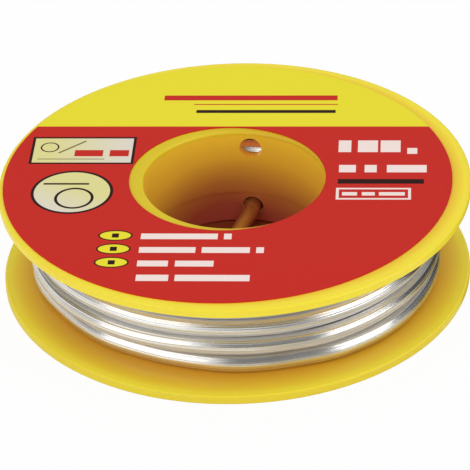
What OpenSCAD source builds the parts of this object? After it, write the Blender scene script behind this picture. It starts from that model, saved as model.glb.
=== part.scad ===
// Spool of solder wire. One moulding makes both flanges and the hub between them. A ring label
// is stuck on the upper flange. The wire is wound on the hub, and its inner end comes through
// the lower anchor hole into the bore.
// Units are millimetres. The spool stands on Z = 0 with its axis on the Z axis, and both
// anchor holes look along the Y axis.

/* [Spool] */
// Diameter of both flanges
flange_d = 70; // [60:0.5:90]
// Thickness of each flange
flange_t = 1.4; // [1:0.1:2.5]
// Clear width between the flanges, which the wire fills
winding_w = 13.3; // [8:0.1:40]
// Radius on the outer edges of the flanges
rim_round = 0.35; // [0.1:0.05:0.45]
// Diameter of the bore
bore_d = 27; // [18:0.5:32]
// Thickness of the hub's wall
hub_wall = 1.5; // [1:0.1:3]
// Radius on the two mouths of the bore
lip_round = 0.4; // [0.2:0.1:1]
// Radius where a flange runs into the hub
root_round = 0.5; // [0.2:0.1:1]
// How much wider the bore's lower stretch is, from the larger of the two mould cores
core_step = 0.2; // [0.16:0.02:0.5]
// Length of the bore's wider lower stretch
core_step_h = 5.4; // [5:0.1:7]

/* [Anchor holes] */
// Diameter of the two holes that take the wire's inner end
anchor_d = 3.4; // [2.8:0.1:4]
// How far an anchor hole dips into the flange beside it
anchor_sink = 0.3; // [0.1:0.1:0.6]

/* [Label] */
// Thickness of the label
label_t = 0.15; // [0.1:0.05:0.4]
// Bare margin between the label's outer edge and the flange's rim, where the label is centred
label_rim_margin = 1.7; // [1.5:0.1:6]
// Margin between the bore and the label's hole, where the label is centred
label_hole_margin = 1.1; // [1.1:0.05:4]
// Sideways offset of the label, which is stuck on by hand
label_dx = -1.05; // [-1.05:0.05:1.05]
// Offset of the label along Y
label_dy = 0; // [-0.15:0.05:0.15]

/* [Wire] */
// Diameter of the wire
wire_d = 2.95; // [2:0.05:3.2]
// Depth of the wound wire below the flange rims
rim_margin = 4.5; // [3:0.1:8]
// Clearance between the winding and each flange
side_gap = 0.3; // [0.15:0.05:0.3]
// Clearance between the layers, and between the winding and the hub
layer_gap = 0.25; // [0.15:0.05:0.3]
// Part of a loop over which a turn steps across to the next, in degrees
crossover_deg = 60; // [60:15:90]
// Middle of the crossovers, in degrees from the X axis
crossover_at_deg = 142.5; // [97.5:15:232.5]

/* [Inner end of the wire] */
// Diameter of the inner end, drawn thinner as it was pulled through its hole
end_d = 2.4; // [1.6:0.1:2.6]
// Straight run of the inner end inside the bore, before its bend
end_run = 1.2; // [0.6:0.1:3]
// Angle of the bend
end_bend_deg = 9; // [5:1:40]
// Radius of the bend
end_bend_r = 6; // [3:0.5:10]
// Length of the inner end past its bend
end_tail = 7.5; // [3:0.5:8]
// Angle between the two faces that the cutters left on the tip
tip_deg = 70; // [50:5:100]

/* [Hidden] */
$fn = 96;

flange_r = flange_d / 2;
bore_r = bore_d / 2;
hub_r = bore_r + hub_wall;
spool_h = winding_w + 2 * flange_t;
anchor_z = flange_t + anchor_d / 2 - anchor_sink;

// Radius at the corners of a tube with flat sides that has the section of a round wire
function corner_r(diameter, sides) = diameter / 2 * sqrt(PI / (sides / 2 * sin(360 / sides)));

// The loops of the outer layer are one tube with six flat sides, as large across as the wire.
loop_rings = 24;
tube_sides = 6;
ring_deg = 360 / loop_rings;
tube_r = corner_r(wire_d, tube_sides);
tube_across = 2 * tube_r * cos(180 / tube_sides);
// As many turns as fit at this gap lie evenly between the flanges.
least_turn_gap = 0.45;
wound_w = winding_w - 2 * side_gap;
turns = floor((wound_w + least_turn_gap) / (tube_across + least_turn_gap));
turn_pitch = (wound_w - tube_across) / (turns - 1);
winding_r = flange_r - rim_margin;
loop_r = winding_r - tube_r;
first_turn_z = (spool_h - wound_w + tube_across) / 2;
// A straight side of the tube cuts this much closer to the axis than its corners lie.
core_r = (loop_r - tube_r) * cos(ring_deg / 2) - layer_gap;
core_inner_r = hub_r + layer_gap;
first_deg = crossover_at_deg + crossover_deg / 2;
wound_deg = 360 * turns - crossover_deg;
wound_rings = round(wound_deg / ring_deg);

// Height of the tube's middle line after a turn of a degrees
function turn_z(a) =
    let (whole = floor(a / 360), part = a - 360 * whole - (360 - crossover_deg))
    first_turn_z + turn_pitch * (whole + max(0, part / crossover_deg));

// Point of the tube's middle line after a turn of a degrees
function loop_point(a) = [
    loop_r * cos(first_deg + a),
    loop_r * sin(first_deg + a),
    turn_z(a)
];

function unit(v) = v / norm(v);

// Direction of the tube after a turn of a degrees, never past its ends
function loop_direction(a) =
    unit(loop_point(min(wound_deg, a + ring_deg / 2)) - loop_point(max(0, a - ring_deg / 2)));

// Corners of a tube's section of corner radius r round the point c, square to the direction d
function section(c, d, outward, r, sides) =
    let (across = unit(cross(d, outward)), out = cross(across, d))
    [for (i = [0 : sides - 1])
        c + r * (cos(360 * i / sides) * out + sin(360 * i / sides) * across)];

function loop_section(c, d, a) =
    section(c, d, [cos(first_deg + a), sin(first_deg + a), 0], tube_r, tube_sides);

function tangent(a) = [-sin(first_deg + a), cos(first_deg + a), 0];

// Each end of the tube runs on straight for one diameter of the wire.
outer_layer_rings = concat(
    [loop_section(loop_point(0) - wire_d * tangent(0), tangent(0), 0)],
    [loop_section(loop_point(0), tangent(0), 0)],
    [for (i = [1 : wound_rings - 1])
        loop_section(loop_point(i * ring_deg), loop_direction(i * ring_deg), i * ring_deg)],
    [loop_section(loop_point(wound_deg), tangent(wound_deg), wound_deg)],
    [loop_section(loop_point(wound_deg) + wire_d * tangent(wound_deg), tangent(wound_deg), wound_deg)]
);

// The inner end of the wire runs level along -Y, bends towards -X and ends in a straight tail.
end_sides = 12;
end_bend_rings = 5;
end_start_y = hub_r + layer_gap / 2;
end_bend_y = bore_r - end_run;

// Point of the inner end's middle line after a bend of a degrees and a straight length after it
function end_point(a, straight) = [
    end_bend_r * (cos(a) - 1) - straight * sin(a),
    end_bend_y - end_bend_r * sin(a) - straight * cos(a),
    anchor_z
];

function end_section(c, a) =
    section(c, [-sin(a), -cos(a), 0], [0, 0, 1], corner_r(end_d, end_sides), end_sides);

inner_end_rings = concat(
    [end_section([0, end_start_y, anchor_z], 0)],
    [for (i = [0 : end_bend_rings - 1])
        let (a = end_bend_deg * i / (end_bend_rings - 1))
        end_section(end_point(a, 0), a)],
    [end_section(end_point(end_bend_deg, end_tail + end_d), end_bend_deg)]
);

// Distance from the point p to the line from a to b
function line_distance(p, a, b) =
    let (t = max(0, min(1, (p - a) * (b - a) / ((b - a) * (b - a)))))
    norm(p - a - t * (b - a));

// Least distance between a corner of one loop and an edge of the next
function least_gap(rings) = min([
    for (i = [0 : len(rings) - loop_rings])
        for (j = [max(0, i + loop_rings - 3) : min(len(rings) - 2, i + loop_rings + 3)])
            for (p = rings[i])
                for (k = [0 : tube_sides - 1])
                    line_distance(p, rings[j][k], rings[j + 1][k])
]);

echo(turns = turns, least_gap_between_turns = least_gap(outer_layer_rings));

// Solid tube through a list of rings of points
module tube(rings) {
    sides = len(rings[0]);
    last = len(rings) - 1;
    points = [for (ring = rings) for (p = ring) p];
    start_cap = [for (i = [1 : sides - 2]) [0, i, i + 1]];
    end_cap = [for (i = [1 : sides - 2]) [last * sides, last * sides + i + 1, last * sides + i]];
    walls = [
        for (i = [0 : last - 1])
            for (k = [0 : sides - 1])
                let (a = i * sides + k, b = i * sides + (k + 1) % sides)
                for (face = [[a, a + sides, b], [b, a + sides, b + sides]])
                    face
    ];
    polyhedron(points = points, faces = concat(start_cap, walls, end_cap));
}

// Half section of one flange with rounded outer edges, from the hub's wall outward
module flange_section() {
    translate([bore_r, 0])
        square([flange_r - rim_round - bore_r, flange_t]);
    translate([bore_r, rim_round])
        square([flange_r - bore_r, flange_t - 2 * rim_round]);
    for (z = [rim_round, flange_t - rim_round])
        translate([flange_r - rim_round, z])
            circle(r = rim_round);
}

// Fills the corner between the hub and the lower flange with a fillet
module root_section() {
    difference() {
        translate([hub_r - root_round / 2, flange_t - root_round / 2])
            square(1.5 * root_round);
        translate([hub_r + root_round, flange_t + root_round])
            circle(r = root_round);
    }
}

// What the mouth of a bore of radius r loses to its rounded lip, seen at the lower face
module lip_cut_section(r) {
    difference() {
        translate([r - lip_round, -lip_round])
            square(2 * lip_round);
        translate([r + lip_round, lip_round])
            circle(r = lip_round);
    }
}

module mirror_to_top() {
    translate([0, spool_h])
        mirror([0, 1])
            children();
}

module spool_section() {
    difference() {
        union() {
            translate([bore_r, 0])
                square([hub_wall, spool_h]);
            flange_section();
            root_section();
            mirror_to_top() {
                flange_section();
                root_section();
            }
        }
        translate([bore_r - core_step, -core_step])
            square([2 * core_step, core_step_h + core_step]);
        lip_cut_section(bore_r + core_step);
        mirror_to_top()
            lip_cut_section(bore_r);
    }
}

// Straight round cut through the hub's wall, which ends at the root of the flange
module anchor_hole() {
    translate([0, bore_r - hub_wall, anchor_z])
        rotate([-90, 0, 0])
            cylinder(d = anchor_d, h = 2 * hub_wall + root_round);
}

module spool_body() {
    color([0.93, 0.80, 0.16])
        difference() {
            rotate_extrude()
                spool_section();
            anchor_hole();
            translate([0, 0, spool_h])
                mirror([0, 0, 1])
                    anchor_hole();
        }
}

module front_label() {
    color([0.78, 0.19, 0.16])
        translate([label_dx, label_dy, spool_h])
            difference() {
                cylinder(r = flange_r - label_rim_margin, h = label_t);
                translate([0, 0, -label_t])
                    cylinder(r = bore_r + label_hole_margin, h = 3 * label_t);
            }
}

// Inner layers of wire as one ring, with the wire's own radius on its corners
module wire_inner_layers() {
    edge_r = wire_d / 2;
    low = flange_t + side_gap;
    high = low + wound_w;
    color([0.72, 0.73, 0.75])
        rotate_extrude() {
            translate([core_inner_r, low + edge_r])
                square([core_r - core_inner_r, high - low - 2 * edge_r]);
            translate([core_inner_r + edge_r, low])
                square([core_r - core_inner_r - 2 * edge_r, high - low]);
            for (r = [core_inner_r + edge_r, core_r - edge_r])
                for (z = [low + edge_r, high - edge_r])
                    translate([r, z])
                        circle(r = edge_r);
        }
}

module wire_outer_layer() {
    color([0.80, 0.81, 0.83])
        tube(outer_layer_rings);
}

// What cutters take off a wire that runs along -Y, from both sides to a blunt edge at Y = 0
module tip_cuts() {
    for (side = [0, 1])
        mirror([0, 0, side])
            rotate([tip_deg / 2, 0, 0])
                translate([-end_d, -2 * end_d, 0])
                    cube([2 * end_d, 4 * end_d, 2 * end_d]);
}

module wire_inner_end() {
    color([0.78, 0.79, 0.81])
        difference() {
            tube(inner_end_rings);
            translate(end_point(end_bend_deg, end_tail))
                rotate([0, 0, -end_bend_deg])
                    tip_cuts();
        }
}

spool_body();
front_label();
wire_inner_layers();
wire_outer_layer();
wire_inner_end();
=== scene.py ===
# %% [markdown]
# # A spool of solder wire
#
# The object is a small yellow plastic spool. Its two flanges and the hub between them are one
# moulding. A laminated ring label is stuck on the upper flange, and bright tin wire is wound on
# the hub, with its inner end coming through a hole into the bore.
#
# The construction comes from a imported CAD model, which is loaded first. Its parts stay where they
# are and get their finish here. The wire is made anew, because the CAD model only holds simple
# forms of it.

# %% Load the frame
import math

import bmesh
import bpy
from mathutils import Matrix, Vector


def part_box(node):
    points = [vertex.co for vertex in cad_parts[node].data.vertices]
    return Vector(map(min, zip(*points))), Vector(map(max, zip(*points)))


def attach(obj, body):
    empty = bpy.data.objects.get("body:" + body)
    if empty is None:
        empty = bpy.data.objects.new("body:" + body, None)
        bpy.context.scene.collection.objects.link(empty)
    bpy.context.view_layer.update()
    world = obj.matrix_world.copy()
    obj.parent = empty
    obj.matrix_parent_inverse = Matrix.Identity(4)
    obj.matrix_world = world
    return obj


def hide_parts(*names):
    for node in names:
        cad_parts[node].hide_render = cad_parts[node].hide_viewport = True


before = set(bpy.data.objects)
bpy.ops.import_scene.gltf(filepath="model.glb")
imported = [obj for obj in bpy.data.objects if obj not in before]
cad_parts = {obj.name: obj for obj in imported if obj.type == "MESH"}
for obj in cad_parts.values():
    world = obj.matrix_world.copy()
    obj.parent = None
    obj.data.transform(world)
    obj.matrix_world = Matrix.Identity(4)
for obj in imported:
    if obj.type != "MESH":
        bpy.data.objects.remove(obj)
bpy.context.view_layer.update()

MM = 0.001
BODY = "root"
print("nodes:", ", ".join(sorted(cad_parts)))

# %% [markdown]
# ## Sizes from the frame
#
# Every size that the box round a CAD part gives is read from it, so that the dressed model follows
# when the construction changes. No box gives the flanges' thickness and the rounding of their
# edges, so those two are written down again. The spool stands on Z = 0, and its axis is the Z axis.

# %% Read the spool's sizes
_, spool_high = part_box("spool_body")
label_low, label_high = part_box("front_label")

flange_r = spool_high.x
spool_h = spool_high.z
label_middle = (label_low + label_high) / 2
FLANGE_T = 1.4 * MM
RIM_ROUND = 0.35 * MM
print(f"flange radius {flange_r / MM:.1f} mm, height {spool_h / MM:.1f} mm")
print("label's middle in mm:", [round(value / MM, 2) for value in label_middle])

# %% [markdown]
# ## The camera
#
# A long lens from nearly half a metre away keeps the two flanges almost parallel in the picture.
# The camera is placed by its direction from a point near the middle of the spool, and then tipped a
# little about its own line of sight.

# %% Place the camera
CAMERA_AZIMUTH = math.radians(11.3)
CAMERA_ELEVATION = math.radians(32.572)
CAMERA_TIP = math.radians(-2.081)
CAMERA_DISTANCE = 460.87 * MM
CAMERA_AIM = Vector((-0.033, -0.845, 6.713)) * MM
CAMERA_LENS = 235.907
CAMERA_SENSOR = 36

camera_turn = (
    Matrix.Rotation(CAMERA_AZIMUTH, 4, "Z")
    @ Matrix.Rotation(math.pi / 2 - CAMERA_ELEVATION, 4, "X")
    @ Matrix.Rotation(CAMERA_TIP, 4, "Z")
)
camera_data = bpy.data.cameras.new("camera")
camera_data.sensor_width = CAMERA_SENSOR
camera_data.lens = CAMERA_LENS
camera_data.clip_start = 0.01
camera_data.clip_end = 20
camera = bpy.data.objects.new("camera", camera_data)
camera_back = Matrix.Translation((0, 0, CAMERA_DISTANCE))
camera.matrix_world = Matrix.Translation(CAMERA_AIM) @ camera_turn @ camera_back
bpy.context.scene.collection.objects.link(camera)
bpy.context.scene.camera = camera
print("camera at", [round(value, 3) for value in camera.matrix_world.translation])

# %% [markdown]
# ## Writing shader maths as Python
#
# A pattern is easier to read as an expression than as a web of nodes. `Value` wraps one socket, and
# its operators add the Math nodes. `Nodes` adds any other node from its type, its settings and the
# values of its sockets.


# %% Wrap sockets and nodes
class Value:
    """A socket that can be added, multiplied and compared like a number."""

    def __init__(self, nodes, socket):
        self.nodes = nodes
        self.socket = socket

    def math(self, operation, *others, swap=False, clamp=False):
        terms = [self, *others]
        if swap:
            terms.reverse()
        settings = {"operation": operation, "use_clamp": clamp}
        return self.nodes.add("Math", settings, dict(enumerate(terms)))

    def __add__(self, other):
        return self.math("ADD", other)

    __radd__ = __add__

    def __sub__(self, other):
        return self.math("SUBTRACT", other)

    def __rsub__(self, other):
        return self.math("SUBTRACT", other, swap=True)

    def __mul__(self, other):
        return self.math("MULTIPLY", other)

    __rmul__ = __mul__

    def __truediv__(self, other):
        return self.math("DIVIDE", other)

    def __abs__(self):
        return self.math("ABSOLUTE")

    def larger(self, other):
        return self.math("MAXIMUM", other)

    def smaller(self, other):
        return self.math("MINIMUM", other)

    def root(self):
        return self.math("SQRT")

    def between_0_and_1(self):
        return self.math("ADD", 0.0, clamp=True)

    def rise(self, start, width):
        """0 up to the start, and from there up to 1 over this width."""
        return ((self - start) * (1 / width)).between_0_and_1()

    def fall(self, start, width):
        """1 up to the start, and from there down to 0 over this width."""
        return ((start + width - self) * (1 / width)).between_0_and_1()

    def within(self, low, high, soft):
        """1 from low to high, and down to 0 over a soft edge outside them."""
        return self.rise(low - soft, soft) * self.fall(high, soft)


class Nodes:
    """Adds nodes to one tree."""

    def __init__(self, tree):
        self.tree = tree
        tree.nodes.clear()

    def add(self, kind, settings=(), sockets=(), out=0):
        node = self.tree.nodes.new("ShaderNode" + kind)
        for name, value in dict(settings).items():
            if name == "stops":
                self.set_stops(node.color_ramp, value)
            else:
                setattr(node, name, value)
        for name, value in dict(sockets).items():
            if isinstance(value, Value):
                self.tree.links.new(value.socket, node.inputs[name])
            else:
                node.inputs[name].default_value = value
        return Value(self, node.outputs[out]) if len(node.outputs) else node

    def set_stops(self, ramp, stops):
        while len(ramp.elements) < len(stops):
            ramp.elements.new(1.0)
        for element, (place, colour) in zip(ramp.elements, stops):
            element.position = place
            element.color = (*colour, 1)

    def mix(self, factor, first, second):
        """Colour that goes from first to second as the factor goes from 0 to 1."""
        settings = {"data_type": "RGBA", "clamp_factor": True}
        return self.add("Mix", settings, {0: factor, 6: first, 7: second}, out=2)

    def noise(self, place, scale, detail=2.0):
        return self.add("TexNoise", {}, {"Vector": place, "Scale": scale, "Detail": detail})

    def parts(self, vector):
        """The x, y and z of a vector."""
        split = self.add("SeparateXYZ", {}, {"Vector": vector})
        outputs = split.socket.node.outputs
        return [Value(self, outputs[i]) for i in range(3)]

    def joined(self, x, y, z):
        return self.add("CombineXYZ", {}, {"X": x, "Y": y, "Z": z})


def from_axis(x, y):
    """The distance from the Z axis."""
    return (x * x + y * y).root()


def colour(red, green, blue):
    """A colour that is given as it shows on a screen, from 0 to 255, as the shader's linear one."""
    shares = [value / 255 for value in (red, green, blue)]
    linear = [s / 12.92 if s <= 0.04045 else ((s + 0.055) / 1.055) ** 2.4 for s in shares]
    return (*linear, 1)


BLACK = (0, 0, 0, 1)
WHITE = (1, 1, 1, 1)


def new_material(name):
    """A material with its nodes, whose Principled shader the caller fills in."""
    material = bpy.data.materials.new(name)
    material.use_nodes = True
    return material, Nodes(material.node_tree)


def finish_material(nodes, sockets, normal):
    """Ends a material in one Principled shader with these socket values and this normal."""
    shader = nodes.add("BsdfPrincipled", {}, {**sockets, "Normal": normal})
    nodes.add("OutputMaterial", {}, {"Surface": shader})


# %% [markdown]
# ## Yellow plastic
#
# The spool is moulded in a plastic that lets some light in. Its rims are a clear yellow. Its colour
# sinks towards orange brown in painted shade: on the flanges a ramp over the distance from the axis
# deepens it towards the wire, and in the bore a ramp over the height deepens it towards the bottom,
# least at the sides of the wall. A painted glow round the two anchor holes stands in for light
# through the plastic, and the base's flat face is one yellow. The rounded rims get their exact
# normals, and some subsurface scattering softens the shade.

# %% Choose the plastic's colours
GROOVE_ORANGE = colour(222, 146, 44)
# The flange's colour by its distance from the axis, as a share of its radius. It is painted shade
# that deepens towards the wire, and painted light at the rim's edge.
FLANGE_SHADE_STOPS = [
    (0.814, colour(242, 178, 64)[:3]),
    (0.840, colour(232, 172, 52)[:3]),
    (0.860, colour(228, 171, 47)[:3]),
    (0.900, colour(236, 189, 46)[:3]),
    (0.943, colour(246, 210, 49)[:3]),
    (0.975, colour(253, 232, 57)[:3]),
    (0.994, colour(253, 232, 57)[:3]),
    (0.998, colour(238, 219, 52)[:3]),
]
# The bore's colour by its height, as a share of the spool's. It is painted shade that darkens towards
# the bottom.
BORE_SHADE_STOPS = [
    (0.00, colour(214, 102, 96)[:3]),
    (0.22, colour(196, 97, 76)[:3]),
    (0.45, colour(208, 138, 66)[:3]),
    (0.72, colour(243, 192, 60)[:3]),
    (0.94, colour(245, 202, 56)[:3]),
]
# The mouth's yellow, and the gold of painted shade that it turns to towards the right.
MOUTH_YELLOW = colour(226, 202, 30)
MOUTH_SHADE_GOLD = colour(214, 176, 26)
BASE_YELLOW = colour(240, 206, 52)
LOWER_RIM_SHADE = colour(228, 206, 48)
PAINTED_GLOW_COLOUR = (0.40, 0.12, 0.03, 1)
print(f"plastic: {len(FLANGE_SHADE_STOPS)} colours out to the rim, {len(BORE_SHADE_STOPS)} up the bore")


# %% Round the rims' normals
def rounded_rim(nodes, x, y, z, radius):
    """The normal of a flat disc with rounded edges, which the mesh's own normals only come near."""
    flat = FLANGE_T / 2 - RIM_ROUND
    from_middle = abs(z - spool_h / 2) - (spool_h - FLANGE_T) / 2
    over_z = from_middle - from_middle.larger(-flat).smaller(flat)
    over_r = (radius - (flange_r - RIM_ROUND)).larger(0.0)
    upward = over_z * (z - spool_h / 2).math("SIGN")
    share = over_r / radius
    outward = nodes.joined(x * share, y * share, upward)
    return nodes.add("VectorMath", {"operation": "NORMALIZE"}, {0: outward})


# %% Paint shade into the bore and the flanges
# The bore's painted shade is darkest in a streak at the back a little to the left, and lighter to
# either side and towards the mouth.
DARKEST_X = -3.5  # the middle of the bore's darkest streak, in millimetres
LIGHTER_LEFT = 0.0057  # for every square millimetre to the left of the streak
LIGHTER_RIGHT = 0.02  # for every millimetre to its right
STREAK_TOP = 0.85  # the share of the spool's height from which the streak no longer shows
MOUTH_LEVEL = 0.95
BORE_TINT_R = 16.6 * MM
LOW_RIM_R = 34.84 * MM


def bore_shade_colour(nodes, x, z):
    """The bore's colour with painted shade. It deepens with depth, and least towards the sides of the
    wall.
    """
    across = x * (1 / MM) - DARKEST_X
    left = (0.0 - across).larger(0.0)
    lighter = left * left * LIGHTER_LEFT + across.larger(0.0) * LIGHTER_RIGHT
    level = z * (1 / spool_h)
    raised = level + lighter * (STREAK_TOP - level).larger(0.0)
    wall = nodes.add("ValToRGB", {"stops": BORE_SHADE_STOPS}, {"Fac": raised})
    # Painted shade: the mouth turns gold towards the right.
    mouth = nodes.mix(across.rise(-4.5, 12), MOUTH_YELLOW, MOUTH_SHADE_GOLD)
    return nodes.mix(level.rise(MOUTH_LEVEL, 0.04), wall, mouth)


def flange_shade_colour(nodes, z, radius):
    """The flanges' colour with painted shade, which is a little darker on the lower one's rim."""
    share = radius * (1 / flange_r)
    flange = nodes.add("ValToRGB", {"stops": FLANGE_SHADE_STOPS}, {"Fac": share})
    # Painted shade: the lower flange's rim is a little darker than the upper one's.
    lower_rim_shade = radius.rise(LOW_RIM_R, 0.1 * MM) * z.fall(2 * MM, 1 * MM)
    return nodes.mix(lower_rim_shade, flange, LOWER_RIM_SHADE)


# %% Paint a glow round the anchor holes
# The radius and the height between which the plastic has a painted glow, which stands in for light
# through it, and how strongly. The first place is the lower hole's wall, and the second is the
# flange's underside over the upper hole.
PAINTED_GLOW_SPOTS = [
    ((13.9 * MM, 15.2 * MM), (1.5 * MM, 5 * MM), 0.2),
    ((15.2 * MM, 19 * MM), (14 * MM, 15 * MM), 0.9),
]


def painted_glow_at(z, radius):
    """How strong the painted glow is at this radius and height."""
    glow = 0.0
    for (inner, outer), (low, high), strength in PAINTED_GLOW_SPOTS:
        there = radius.within(inner, outer, 0.15 * MM) * z.within(low, high, 0.1 * MM)
        glow = there * strength + glow
    return glow


# %% Make the yellow plastic
RIM_NORMALS_R = 31 * MM
FLOW_SCALE = 60
GRAIN_SCALE = 2600


def yellow_plastic():
    """The moulded plastic of the flanges and the hub, with painted shade and a painted glow round the
    anchor holes.
    """
    material, nodes = new_material("yellow_plastic")
    place = nodes.add("TexCoord", out=3)
    x, y, z = nodes.parts(place)
    radius = from_axis(x, y)
    in_bore = radius.fall(BORE_TINT_R, 0.4 * MM)
    # Painted shade: the flanges deepen towards the wire and the bore towards its bottom.
    tint = nodes.mix(in_bore, flange_shade_colour(nodes, z, radius), bore_shade_colour(nodes, x, z))
    tint = nodes.mix(z.fall(0.01 * MM, 0.05 * MM), tint, BASE_YELLOW)
    flow = nodes.noise(place, FLOW_SCALE, detail=3.0)
    tint = nodes.mix((flow - 0.35) * 0.2, tint, GROOVE_ORANGE)
    sockets = {
        "Base Color": tint,
        "Roughness": 0.26 + flow * 0.10,
        "IOR": 1.46,
        "Specular IOR Level": 0.45,
        "Subsurface Weight": 0.15,
        "Subsurface Radius": (1.0, 0.45, 0.05),
        "Subsurface Scale": 1.2 * MM,
        # Painted glow round the anchor holes, which stands in for light through the plastic.
        "Emission Color": nodes.mix(painted_glow_at(z, radius), BLACK, PAINTED_GLOW_COLOUR),
        "Emission Strength": 1.0,
    }
    on_rim = radius.rise(RIM_NORMALS_R, 0.2 * MM)
    plain, exact = nodes.add("NewGeometry", out=1), rounded_rim(nodes, x, y, z, radius)
    normal = nodes.add("Mix", {"data_type": "VECTOR"}, {0: on_rim, 4: plain, 5: exact}, out=1)
    grain = nodes.noise(place, GRAIN_SCALE)
    grains = {"Strength": 0.05, "Distance": 0.02 * MM, "Height": grain, "Normal": normal}
    finish_material(nodes, sockets, nodes.add("Bump", {}, grains))
    return material


plastic = yellow_plastic()
print(f"yellow plastic: {len(plastic.node_tree.nodes)} nodes")

# %% Dress the spool
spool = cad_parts["spool_body"]
for slot in spool.material_slots:
    slot.material = plastic
print(f"spool: {len(spool.data.polygons)} faces in one plastic")

# %% [markdown]
# ## Fine rims
#
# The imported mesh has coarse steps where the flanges' rims are rounded, and they show as small teeth
# along the outline. Each rim gets a thin skin of the same plastic, turned from the exact section in
# fine steps. It lies on the rim and adds nothing to its size.

# %% Turn the rims' skins
RIM_STEPS = 12
STEPS_ROUND_RIM = 360


def rim_section(middle):
    """Points of one flange's rounded rim, from its lower face round to its upper one."""
    centre_r = flange_r - RIM_ROUND
    half = FLANGE_T / 2 - RIM_ROUND
    points = []
    for side, start in ((-1, -90), (1, 0)):
        for step in range(RIM_STEPS + 1):
            turn = math.radians(start + 90 * step / RIM_STEPS)
            out = centre_r + RIM_ROUND * math.cos(turn)
            points.append(Vector((out, 0, middle + side * half + RIM_ROUND * math.sin(turn))))
    return points


shape = bmesh.new()
for middle in (FLANGE_T / 2, spool_h - FLANGE_T / 2):
    ring = [shape.verts.new(point) for point in rim_section(middle)]
    edges = [shape.edges.new(pair) for pair in zip(ring, ring[1:])]
    bmesh.ops.spin(
        shape, geom=ring + edges, cent=(0, 0, 0), axis=(0, 0, 1),
        angle=2 * math.pi, steps=STEPS_ROUND_RIM, use_merge=True,
    )
bmesh.ops.recalc_face_normals(shape, faces=shape.faces)
for face in shape.faces:
    face.smooth = True
rims_mesh = bpy.data.meshes.new("flange_rims")
shape.to_mesh(rims_mesh)
shape.free()
rims_mesh.materials.append(plastic)
rims = bpy.data.objects.new("flange_rims", rims_mesh)
bpy.context.scene.collection.objects.link(rims)
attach(rims, BODY)
print(f"rims: {len(rims_mesh.polygons)} faces")

# %% [markdown]
# ## The printed label
#
# The label is one flat ring of print under a clear film. Its pattern is worked out from distances in
# the label's own plane, in millimetres, so every edge is sharp at any size. The level chord that
# parts the yellow field from the red one just touches the label's hole. The boxes, ovals and bars
# are plain print with no words.

# %% Choose the inks
PRINT_RED = colour(203, 38, 27)
PRINT_YELLOW = colour(238, 226, 44)
PRINT_CREAM = colour(228, 221, 150)
PRINT_PALE = colour(226, 220, 206)
PRINT_WHITE = colour(246, 228, 222)
PRINT_DARK = colour(48, 22, 18)
PRINT_OLIVE = colour(132, 124, 84)

# %% Paint plain shapes
EDGE = 0.05  # the width over which an edge of print softens, in millimetres


class Print:
    """Paints plain shapes over each other on the label's plane."""

    def __init__(self, nodes, u, v, ground):
        self.nodes, self.u, self.v = nodes, u, v
        self.ink = ground

    def paint(self, distance, ink):
        """Lays ink wherever the distance to a shape's edge is negative."""
        cover = (0.5 - distance * (1 / EDGE)).between_0_and_1()
        self.ink = self.nodes.mix(cover, self.ink, ink)

    def box(self, u, v, width, height, turn=0.0):
        """Distance to the edge of a box whose middle is at u, v, turned by this many degrees."""
        c, s = math.cos(math.radians(turn)), math.sin(math.radians(turn))
        along = (self.u - u) * c + (self.v - v) * s
        across = (self.v - v) * c - (self.u - u) * s
        return (abs(along) - width / 2).larger(abs(across) - height / 2)

    def oval(self, u, v, width, height):
        """Distance to the edge of an oval, which is exact where it is round."""
        across = (self.u - u) * (2 / width)
        up = (self.v - v) * (2 / height)
        return ((across * across + up * up).root() - 1) * (min(width, height) / 2)

    def outlined(self, shape, u, v, width, height, line, fill, ink):
        """A filled box or oval with a line round it."""
        self.paint(shape(u, v, width, height), ink)
        self.paint(shape(u, v, width - 2 * line, height - 2 * line), fill)

    def words(self, v, height, ink, *spans):
        """A line of print as plain bars, one for each word from its left to its right end."""
        for left, right in spans:
            self.paint(self.box((left + right) / 2, v, right - left, height), ink)


# %% Set out the print
# All lengths of the print are in millimetres from the label's middle.
LABEL_TURN = math.radians(7.22)
CHORD = 14.79
OVALS_V = -16.05
OVALS_STEP = 3.54


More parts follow.
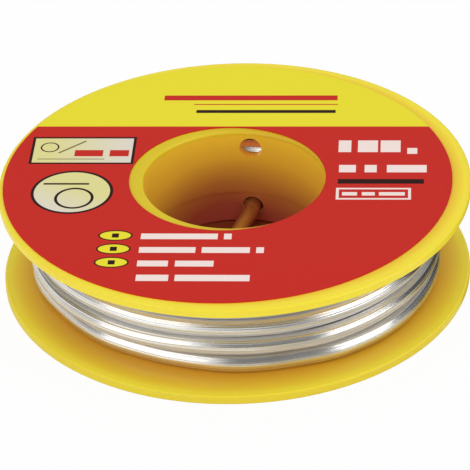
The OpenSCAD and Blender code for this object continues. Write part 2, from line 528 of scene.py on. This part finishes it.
def label_print(nodes):
    """The label's colour, from the ground up to the last shape that is printed over it."""
    turned = nodes.add("Mapping", {"vector_type": "TEXTURE"}, {
        "Vector": nodes.add("TexCoord", out=3),
        "Location": label_middle,
        "Rotation": (0, 0, LABEL_TURN),
        "Scale": (MM, MM, MM),
    })
    u, v, _ = nodes.parts(turned)
    page = Print(nodes, u, v, PRINT_RED)
    page.paint(CHORD - v, PRINT_YELLOW)
    page.words(23.45, 1.5, PRINT_RED, (-11.0, 15.8))
    page.words(21.45, 0.26, PRINT_RED, (-6.3, 15.9))
    page.words(19.3, 0.9, PRINT_DARK, (-5.8, 15.6))
    field = nodes.mix(u.rise(-27, 12), PRINT_CREAM, PRINT_PALE)
    page.outlined(page.box, -22.2, 7.7, 15.75, 7.85, 0.42, field, PRINT_DARK)
    page.words(5.2, 0.22, PRINT_OLIVE, (-28.9, -18.8))
    page.paint(page.box(-23.9, 8.7, 5.2, 0.36, 42), PRINT_OLIVE)
    page.paint(abs(page.oval(-27.3, 8.6, 2.6, 2.6)) - 0.12, PRINT_DARK)
    page.words(6.9, 1.8, PRINT_RED, (-23.4, -19.1), (-18.1, -15.2))
    down_left = 0.0 - (u + 22.75) - (v + 4.2) * 1.6
    field = nodes.mix(down_left.rise(-3, 14), PRINT_CREAM, PRINT_PALE)
    page.outlined(page.oval, -22.75, -4.2, 12.2, 12.05, 0.46, field, PRINT_DARK)
    page.words(-1.9, 0.45, PRINT_DARK, (-27.2, -20.4))
    page.paint(abs(page.oval(-22.3, -5.9, 5.4, 5.4)) - 0.22, PRINT_DARK)
    for row in range(3):
        level = OVALS_V - OVALS_STEP * row
        page.outlined(page.oval, -15.3, level, 5.0, 2.8, 0.26, PRINT_YELLOW, PRINT_DARK)
        page.words(level, 1.1, PRINT_DARK, (-15.8, -14.8))
    page.words(-16.25, 1.5, PRINT_WHITE, (-11.6, -0.5), (0.4, 1.5))
    page.words(-19.85, 1.5, PRINT_WHITE, (-11.6, -3.5), (-2.6, 4.3), (5.2, 6.3))
    page.words(-23.4, 1.5, PRINT_WHITE, (-11.6, -7.2), (-6.2, -0.7))
    page.words(-27.1, 1.6, PRINT_WHITE, (-11.5, -6.9), (-6.0, 4.6))
    page.words(8.95, 3.4, PRINT_WHITE, (16.3, 18.2), (19.2, 22.2), (22.6, 25.6))
    page.words(7.6, 1.7, PRINT_WHITE, (26.6, 28.1))
    page.words(2.5, 2.1, PRINT_WHITE, (16.5, 19.0), (20.3, 22.1), (23.6, 29.5))
    page.words(-1.1, 1.3, PRINT_DARK, (16.4, 29.1))
    page.outlined(page.box, 21.7, -4.55, 11.0, 3.25, 0.42, PRINT_RED, PRINT_WHITE)
    page.words(-4.58, 0.95, PRINT_WHITE, (17.1, 19.3), (20.0, 21.9), (22.5, 26.3))
    return page.ink


# %% Print the label
HAZE_SCALE = 900


def printed_label():
    """The print under its clear film."""
    material, nodes = new_material("printed_label")
    place = nodes.add("TexCoord", out=3)
    haze = nodes.noise(place, HAZE_SCALE)
    sockets = {
        "Base Color": label_print(nodes),
        "Roughness": 0.32 + haze * 0.12,
        "IOR": 1.46,
        "Specular IOR Level": 0.15,
    }
    bump = nodes.add("Bump", {}, {"Strength": 0.03, "Distance": 0.02 * MM, "Height": haze})
    finish_material(nodes, sockets, bump)
    return material


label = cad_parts["front_label"]
paper = printed_label()
for slot in label.material_slots:
    slot.material = paper
print(f"label: {len(paper.node_tree.nodes)} nodes")

# %% [markdown]
# ## The wound wire
#
# The wire is one length. It starts at the hub, and a winding machine lays it in layers of flat
# turns, each stepping across to the next on one side of the spool. The fourth layer holds one turn
# fewer, so the outer layer's lowest turn sinks a little where it was pulled tight. The wire's inner
# end was pulled thinner as it was drawn through its hole into the bore. The middle line is worked
# out first, as points in a loop, because both the mesh and the finish need it.

# %% Set out the turns
WIRE_D = 3.04 * MM
PART_TURN_Z = 2.95  # the height of the part turn that leads from the hole, in millimetres

# The radius and the heights of the turns in each inner layer, in millimetres.
INNER_LAYERS = [
    (16.6, [7.1, 11.2]),
    (19.5, [12.7, 9.6, 6.5, 3.4]),
    (22.5, [3.4, 6.5, 9.6, 12.7]),
    (25.6, [11.8, 8.7, 5.6]),
]
# Each outer turn's height, and its radius at some places round the spool, in degrees from the
# front towards the right.
OUTER_TURNS = [
    (2.98, [
        (-95, 29.36), (-72, 29.26), (-46, 28.31), (-34, 28.26), (-18, 27.86), (-8, 27.91),
        (14, 28.51), (25, 28.61), (42, 29.36), (56, 29.51), (80, 29.21), (120, 28.96),
        (200, 28.76),
    ]),
    (6.17, [
        (-95, 29.46), (-50, 29.46), (-34, 29.26), (0, 28.71), (22, 28.96), (36, 29.36),
        (100, 29.16),
    ]),
    (9.36, [(-95, 29.36), (-60, 29.36), (-30, 29.16), (5, 28.91), (30, 29.11), (100, 29.06)]),
    (12.42, [(-95, 29.16), (0, 28.96), (90, 28.96)]),
]


def turns_in_order():
    """Height and radius stops of every turn, from the hub outwards."""
    inner = [(height, [(0, radius)]) for radius, heights in INNER_LAYERS for height in heights]
    return inner + OUTER_TURNS


print(f"wire: {len(turns_in_order())} turns, {len(OUTER_TURNS)} of them in the outer layer")


# %% Ease from one place to the next
def ease(t):
    """Goes from 0 to 1 with no kink at either end."""
    t = min(1.0, max(0.0, t))
    return t * t * (3 - 2 * t)


def radius_at(stops, place):
    """The radius at this place, in degrees, eased from each stop to the next."""
    for (before, first), (after, second) in zip(stops, stops[1:]):
        if place <= after:
            return first + (second - first) * ease((place - before) / (after - before))
    return stops[-1][1]


# %% Lead the inner end through its hole
end_low, end_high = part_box("wire_inner_end")
TIP_INSET = 1.25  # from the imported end's leftmost point to the route's first, in millimetres
BEND_R = 12.0  # how far from the axis the end turns into its hole, in millimetres
HOLE_R = 14.4
JOINED_AT = math.radians(99)


def inner_end_route():
    """Points from the tip in the bore through the hole to the first turn, in millimetres."""
    level = (end_low.z + end_high.z) / 2 / MM
    tip = Vector((end_low.x / MM + TIP_INSET, end_low.y / MM, level))
    hole = Vector((0, HOLE_R, level))
    bend = Vector((0, BEND_R, level))
    first_r = INNER_LAYERS[0][0]
    turned = Vector((first_r * math.cos(JOINED_AT), first_r * math.sin(JOINED_AT), PART_TURN_Z))
    corner = Vector((0, first_r, level))
    points = [tip.lerp(bend, i / 8) for i in range(8)]
    points += [bend.lerp(hole, i / 3) for i in range(3)]
    points += [hole.lerp(corner, i / 8).lerp(corner.lerp(turned, i / 8), i / 8) for i in range(8)]
    return points


print(f"inner end: {len(inner_end_route())} points, {(end_high.z - end_low.z) / MM:.1f} mm thick")

# %% Work out the wire's route
STEPS_A_TURN = 120
CROSSOVER_FROM = math.radians(112.5)
CROSSOVER_WIDTH = math.radians(60)
CROSSING_SHARE = 0.7  # the share of the crossover's width that a turn takes to step across
RADIUS_DELAY = 0.43  # how much later than the height the radius changes, as a share of the step
PART_TURN = math.radians(12)  # how far the part turn runs before it steps across
FRONT = math.radians(270)
FIRST_PLACE = -95  # where a turn starts, in degrees from the front


def wire_route():
    """Points of the wire's middle line, from its inner end to its outer one."""
    turns = [(PART_TURN_Z, [(0, INNER_LAYERS[0][0])]), *turns_in_order()]
    plain = 2 * math.pi - CROSSOVER_WIDTH
    points = inner_end_route()
    for number, (height, stops) in enumerate(turns):
        last = number == len(turns) - 1
        next_height, next_stops = turns[number] if last else turns[number + 1]
        for step in range(STEPS_A_TURN):
            swept = 2 * math.pi * step / STEPS_A_TURN
            if number == 0 and swept < plain - PART_TURN:
                continue
            if last and swept > plain:
                break
            angle = CROSSOVER_FROM + CROSSOVER_WIDTH + swept
            place = math.degrees(angle - FRONT)
            crossed = (swept - plain) / CROSSOVER_WIDTH / CROSSING_SHARE
            start = radius_at(next_stops, FIRST_PLACE)
            here = radius_at(stops, place)
            r = here + (start - here) * ease(crossed - RADIUS_DELAY)
            z = height + (next_height - height) * ease(crossed)
            points.append(Vector((r * math.cos(angle), r * math.sin(angle), z)))
    return [point * MM for point in points]


route = wire_route()
wire_length = sum((b - a).length for a, b in zip(route, route[1:]))
print(f"wire: {wire_length:.2f} m long, {len(route)} points")

# %% Thin the end that was pulled through
THIN_POINTS = 12


def widths_along(points):
    """The wire's width at every point, as a share of its full width."""
    thin = (end_high.z - end_low.z) / WIRE_D
    return [thin + (1 - thin) * ease(i / THIN_POINTS - 1) for i in range(len(points))]


widths = widths_along(route)
print(f"wire: {widths[0] * WIRE_D / MM:.2f} mm thick at its tip, {WIRE_D / MM:.2f} mm on the hub")

# %% [markdown]
# ## Bright tin
#
# Solder is drawn through a die, which leaves fine lines along it. They are the reason that its
# reflections break into long streaks. The tube's own UV map runs round and along the wire, so a noise
# that is stretched along it gives lines that follow every turn. A thin film of oxide takes a little
# from the metal's mirror. The downward flanks are painted a pale, half-matte grey, which stands in
# for a paler reflection than the mirrored flanges give. The end in the bore is painted yellow, which
# stands in for the bore's yellow reflected in it.

# %% Make the tin
TIN = colour(240, 238, 235)
WORN_TIN = colour(202, 197, 190)
PAINTED_FLANK_TIN = colour(206, 205, 205)
BORE_REFLECTION_TIN = colour(228, 198, 140)
LINE_STRETCH = 0.12  # metres of wire for one unit of the noise
REFLECTION_END_R = 14 * MM
FLANK_PAINT_FROM, FLANK_PAINT_TO = 4.6 * MM, 16 * MM


def die_line_place(nodes):
    """A place that runs in a circle round the wire and slowly along it."""
    around, along, _ = nodes.parts(nodes.add("TexCoord", out=2))
    turn = around * (2 * math.pi)
    stretched = along * (wire_length / LINE_STRETCH)
    return nodes.joined(turn.math("COSINE"), turn.math("SINE"), stretched)


def bright_tin():
    """The drawn wire's metal."""
    material, nodes = new_material("bright_tin")
    place = nodes.add("TexCoord", out=3)
    line_place = die_line_place(nodes)
    lines = nodes.noise(line_place, 5.0, detail=1.0)
    ridges = nodes.noise(line_place, 2.0, detail=0.0)
    stains = nodes.noise(place, 180, detail=3.0)
    x, y, z = nodes.parts(place)
    upward = nodes.parts(nodes.add("NewGeometry", out=1))[2]
    # Painted reflection: the downward flanks above the lowest turn are a pale, half-matte grey, which
    # stands in for a paler reflection there.
    painted_flank = upward.fall(-0.25, 0.25) * z.within(FLANK_PAINT_FROM, FLANK_PAINT_TO, 0.3 * MM)
    # Painted reflection: the end in the bore is tinted yellow, which stands in for the bore reflected
    # in it.
    painted_reflection = from_axis(x, y).fall(REFLECTION_END_R, 1 * MM)
    bright = nodes.mix((stains - 0.3) * 0.6 + (lines - 0.5) * 1.2, TIN, WORN_TIN)
    bright = nodes.mix(painted_reflection, bright, BORE_REFLECTION_TIN)
    sockets = {
        "Base Color": nodes.mix(painted_flank, bright, PAINTED_FLANK_TIN),
        "Metallic": 0.94 - painted_flank * 0.64,
        "Roughness": 0.15 + lines * 0.08 + stains * 0.05,
        "Anisotropic": 0.5,
        "Anisotropic Rotation": 0.25,
    }
    height = lines * 0.3 + ridges
    bump = nodes.add("Bump", {}, {"Strength": 1.0, "Distance": 0.09 * MM, "Height": height})
    finish_material(nodes, sockets, bump)
    return material


tin = bright_tin()
print(f"tin: {len(tin.node_tree.nodes)} nodes")

# %% Draw the wire and make it a mesh
WIRE_SIDES = 20


def tube_mesh(name, points, radius, sides, widths):
    """A mesh tube along the points, with closed ends and the radius times each point's width."""
    curve = bpy.data.curves.new(name, "CURVE")
    curve.dimensions = "3D"
    curve.bevel_depth = radius
    curve.bevel_resolution = sides // 2 - 2
    curve.use_fill_caps = True
    curve.resolution_u = 1
    spline = curve.splines.new("POLY")
    spline.points.add(len(points) - 1)
    for i, point in enumerate(points):
        spline.points[i].co = (*point, 1)
        spline.points[i].radius = widths[i]
    spline.use_smooth = True
    drawn = bpy.data.objects.new(name, curve)
    bpy.context.scene.collection.objects.link(drawn)
    graph = bpy.context.evaluated_depsgraph_get()
    mesh = bpy.data.meshes.new_from_object(drawn.evaluated_get(graph))
    bpy.data.objects.remove(drawn)
    return mesh


def add_piece(name, mesh, material):
    """Puts a finished mesh in the scene, on the spool's body."""
    mesh.name = name
    mesh.materials.clear()
    mesh.materials.append(material)
    piece = bpy.data.objects.new(name, mesh)
    bpy.context.scene.collection.objects.link(piece)
    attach(piece, BODY)
    return piece


wire_mesh = tube_mesh("wire", route, WIRE_D / 2, WIRE_SIDES, widths)
wire = add_piece("wire", wire_mesh, tin)
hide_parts("wire_inner_layers", "wire_outer_layer", "wire_inner_end")
print(f"wire: {len(wire.data.polygons)} faces")

# %% [markdown]
# ## The studio
#
# The spool stands on white, between two large soft boxes that stand low at the left and the right.
# The world fills in the rest at an even level. What metal mirrors is a room that is darker where no
# lamp stands: in front, high up at the left and, darkest, behind at the right. It gives the wire its
# grey bands. Under the bore the floor is painted a dark orange brown, a painted shadow with the
# colour of light that came through the plastic.

# %% Read directions and the kinds of ray
def degrees_round(x, y):
    """The direction from the axis, in degrees from the front towards the right."""
    return x.math("ARCTAN2", 0.0 - y) * (180 / math.pi)


def light_paths(nodes):
    """1 for rays that the camera sends, and 1 for rays that a glossy surface sends."""
    rays = nodes.add("LightPath").socket.node.outputs
    straight = Value(nodes, rays["Is Camera Ray"]).larger(Value(nodes, rays["Is Transmission Ray"]))
    return straight, Value(nodes, rays["Is Glossy Ray"])


# %% Add the floor
FLOOR_SIZE = 6.0  # metres
FLOOR_WHITE = 0.94
PAINTED_BORE_SHADOW = colour(150, 72, 44)
UNDER_BORE_R = 15 * MM
# From where to where metal mirrors a darker floor, with the soft edge, and how much darker.
FLOOR_SHADES = [((26, 58, 14), 0.4), ((86, 170, 7), 0.92)]


def make_floor():
    """A wide white floor, which keeps the spool's shadow, with a painted shadow under the bore."""
    shape = bmesh.new()
    bmesh.ops.create_grid(shape, x_segments=1, y_segments=1, size=FLOOR_SIZE / 2)
    mesh = bpy.data.meshes.new("floor")
    shape.to_mesh(mesh)
    shape.free()
    floor = bpy.data.objects.new("floor", mesh)
    bpy.context.scene.collection.objects.link(floor)
    material, nodes = new_material("white_floor")
    x, y, _ = nodes.parts(nodes.add("TexCoord", out=3))
    straight, in_gloss = light_paths(nodes)
    around = degrees_round(x, y)
    level = FLOOR_WHITE
    for span, darker in FLOOR_SHADES:
        level = level - in_gloss * around.within(*span) * darker
    # Painted shadow: the floor under the bore is a dark orange brown.
    in_bore = from_axis(x, y).fall(UNDER_BORE_R, 0.3 * MM)
    paint = nodes.mix(in_bore, nodes.joined(level, level, level), PAINTED_BORE_SHADOW)
    shaded = nodes.add("BsdfDiffuse", {}, {"Color": paint})
    white = nodes.add("Emission", {}, {"Strength": 1.0})
    open_floor = straight * (1.0 - in_bore) * FLOOR_WHITE
    seen = nodes.add("MixShader", {}, {0: open_floor, 1: shaded, 2: white})
    nodes.add("OutputMaterial", {}, {"Surface": seen})
    mesh.materials.append(material)
    print(f"floor: {FLOOR_SIZE:.0f} m wide, {len(nodes.tree.nodes)} nodes")
    return floor


make_floor()

# %% Add the world
FILL_LEVEL = 0.82
MIRRORED_LEVEL = 0.42
# Parts of the mirrored room: how far round and how far up they reach, in degrees with the soft
# edge, and how much lighter they are than the rest.
ROOM_SHADES = [
    ((0, 44, 14), (8, 66, 14), -0.26),  # in front
    ((-180, -74, 10), (24, 90, 12), -0.16),  # high up at the left
    ((-104, -66, 12), (-90, 8, 8), 0.30),  # low at the left
    ((-118, -80, 8), (16, 38, 8), -0.16),  # a band above that
    ((108, 165, 8), (-90, 42, 8), -0.10),  # behind at the right
]
# The darkest parts, low down behind at the right. They lie over each other.
BEHIND_SHADES = [((104, 165, 6), (-90, 13, 5)), ((146, 165, 6), (-90, 25, 6))]
BEHIND_DARKER = 0.28


def make_world():
    """The even light all round, the room that metal mirrors and the white that the camera sees."""
    world = bpy.data.worlds.new("studio")
    bpy.context.scene.world = world
    world.use_nodes = True
    nodes = Nodes(world.node_tree)
    x, y, z = nodes.parts(nodes.add("TexCoord"))
    around = degrees_round(x, y)
    up = z.math("ARCSINE") * (180 / math.pi)
    mirrored = MIRRORED_LEVEL
    for round_span, up_span, lighter in ROOM_SHADES:
        mirrored = around.within(*round_span) * up.within(*up_span) * lighter + mirrored
    first, second = [around.within(*spans[0]) * up.within(*spans[1]) for spans in BEHIND_SHADES]
    mirrored = (mirrored - first.larger(second) * BEHIND_DARKER).larger(0.0)
    straight, in_gloss = light_paths(nodes)
    level = FILL_LEVEL + in_gloss * (mirrored - FILL_LEVEL)
    strength = level + straight * (1.0 - level)
    background = nodes.add("Background", {}, {"Color": WHITE, "Strength": strength})
    nodes.add("OutputWorld", {}, {"Surface": background})
    print(f"world: {len(nodes.tree.nodes)} nodes")


make_world()


# %% Add the soft boxes
def soft_box(name, azimuth, elevation, distance, width, height, radiance):
    """A lamp that faces the spool from this direction, as bright as a card of this radiance."""
    data = bpy.data.lights.new(name, "AREA")
    data.shape = "RECTANGLE"
    data.size = width
    data.size_y = height
    data.energy = radiance * math.pi * width * height
    turn = Matrix.Rotation(math.radians(azimuth), 4, "Z")
    turn = turn @ Matrix.Rotation(math.radians(90 - elevation), 4, "X")
    lamp = bpy.data.objects.new(name, data)
    lamp.matrix_world = turn @ Matrix.Translation((0, 0, distance))
    bpy.context.scene.collection.objects.link(lamp)
    print(f"{name}: {data.energy:.2f} W")


soft_box(
    "box_left", azimuth=-38, elevation=22, distance=0.9, width=0.80, height=0.62, radiance=1.20
)
soft_box(
    "box_right", azimuth=75, elevation=21, distance=0.9, width=0.66, height=0.44, radiance=1.95
)

bpy.context.scene.view_settings.view_transform = "Standard"
